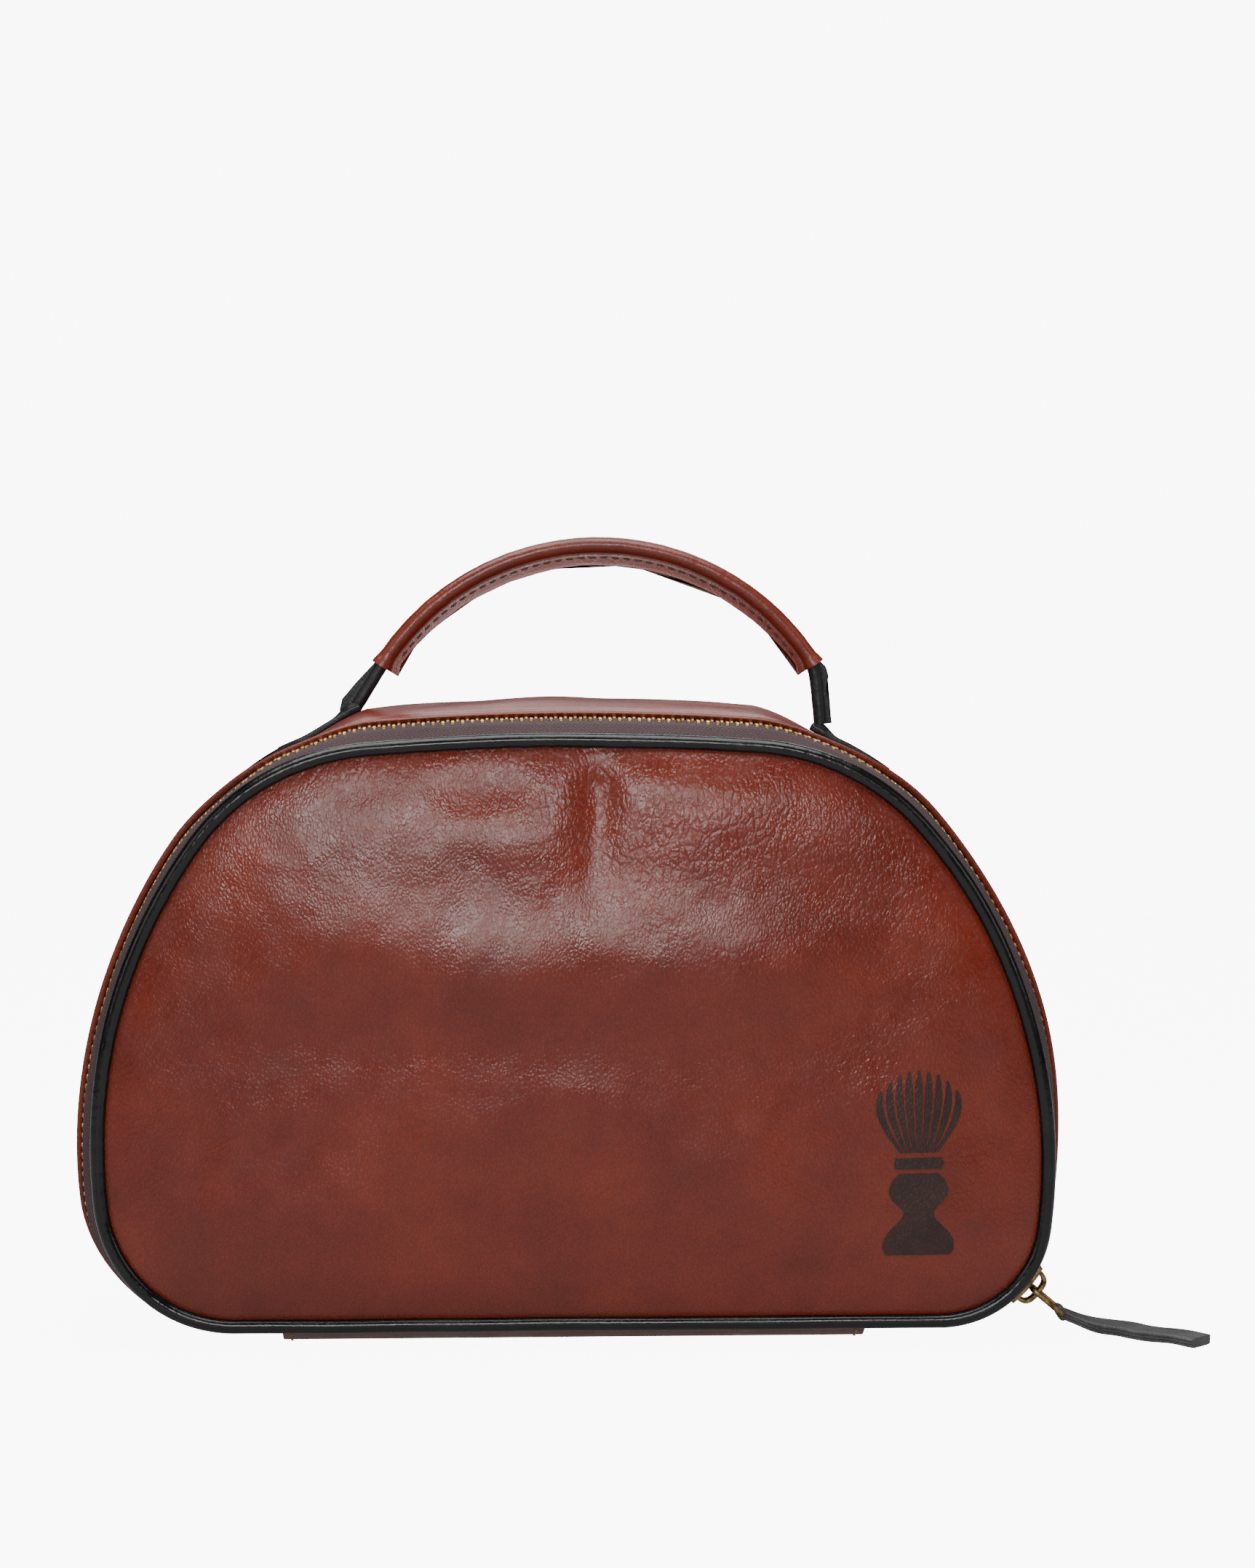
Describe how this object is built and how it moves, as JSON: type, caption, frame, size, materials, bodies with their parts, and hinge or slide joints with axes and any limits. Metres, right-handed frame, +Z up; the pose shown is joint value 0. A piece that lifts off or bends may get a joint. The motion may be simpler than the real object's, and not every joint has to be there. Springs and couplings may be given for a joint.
{
  "type": "shaving kit bag",
  "caption": "Dome-shaped leather wash bag with piped edges, a metal zip round the opening front, a rolled leather handle and a leather zip pull.",
  "frame": {"origin": "centre of the flat underside that the bag stands on", "axes": "+X to the right seen from the front, +Y to the back, +Z up; the opening front panel faces -Y"},
  "size_m": [0.3036, 0.0832, 0.2149],
  "materials": {
    "chestnut_leather": "semi-gloss",
    "grip_leather": "semi-gloss",
    "bottom_leather": "satin",
    "piping_leather": "gloss",
    "strap_leather": "semi-gloss",
    "pull_leather": "satin",
    "cotton_cord": "matte",
    "lining_cloth": "matte",
    "binding_cloth": "matte",
    "zip_tape": "matte",
    "tooth_brass": "satin",
    "antique_brass": "satin",
    "tan_thread": "matte",
    "dark_thread": "matte"
  },
  "bodies": {
    "bag_body": {"back_panel": "chestnut_leather", "back_piping_cover": "piping_leather", "back_piping_cord": "cotton_cord", "back_lining": "lining_cloth", "back_seam_binding": "binding_cloth", "gusset_leather": "chestnut_leather", "gusset_lining": "lining_cloth", "rear_zip_tape": "zip_tape", "rear_zip_teeth": "tooth_brass", "zip_end_tapes": "zip_tape", "zip_end_teeth": "tooth_brass", "zip_stops": "tooth_brass", "bottom_panel": "bottom_leather", "bottom_panel_stitches": "tan_thread", "handle_tab_left": "strap_leather", "handle_tab_right": "strap_leather"},
    "front_cover": {"front_panel": "chestnut_leather", "front_piping_cover": "piping_leather", "front_piping_cord": "cotton_cord", "front_lining": "lining_cloth", "front_seam_binding": "binding_cloth", "front_zip_tape": "zip_tape", "front_zip_teeth": "tooth_brass"},
    "handle": {"handle_strap": "strap_leather", "handle_core": "cotton_cord", "grip_sleeve": "grip_leather", "grip_stitches": "dark_thread"},
    "zip_slider": {"slider_body": "antique_brass", "slider_crown": "antique_brass"},
    "pull_loop": {"pull_loop": "antique_brass"},
    "pull_tab": {"pull_tab": "pull_leather"}
  },
  "joints": [
    {"name": "cover_hinge", "type": "hinge", "parent": "bag_body", "child": "front_cover", "pos_m": [0, -0.038, 0.0065], "axis": [1, 0, 0], "range_deg": [0, 85]},
    {"name": "handle_swing", "type": "hinge", "parent": "bag_body", "child": "handle", "pos_m": [-0.0594, 0, 0.16856], "axis": [0.9998, 0, -0.0189], "range_deg": [-75, 75]},
    {"name": "slider_travel", "type": "hinge", "parent": "bag_body", "child": "zip_slider", "pos_m": [0.09764, -0.024, 0.0345], "axis": [0, 1, 0], "range_deg": [-24, 18]},
    {"name": "pull_swing", "type": "hinge", "parent": "zip_slider", "child": "pull_loop", "pos_m": [0.12365, -0.024, 0.01267], "axis": [0, 1, 0], "range_deg": [-45, 70]},
    {"name": "tab_swing", "type": "hinge", "parent": "pull_loop", "child": "pull_tab", "pos_m": [0.13208, -0.024, 0.0056], "axis": [0, 1, 0], "range_deg": [-35, 60]}
  ]
}
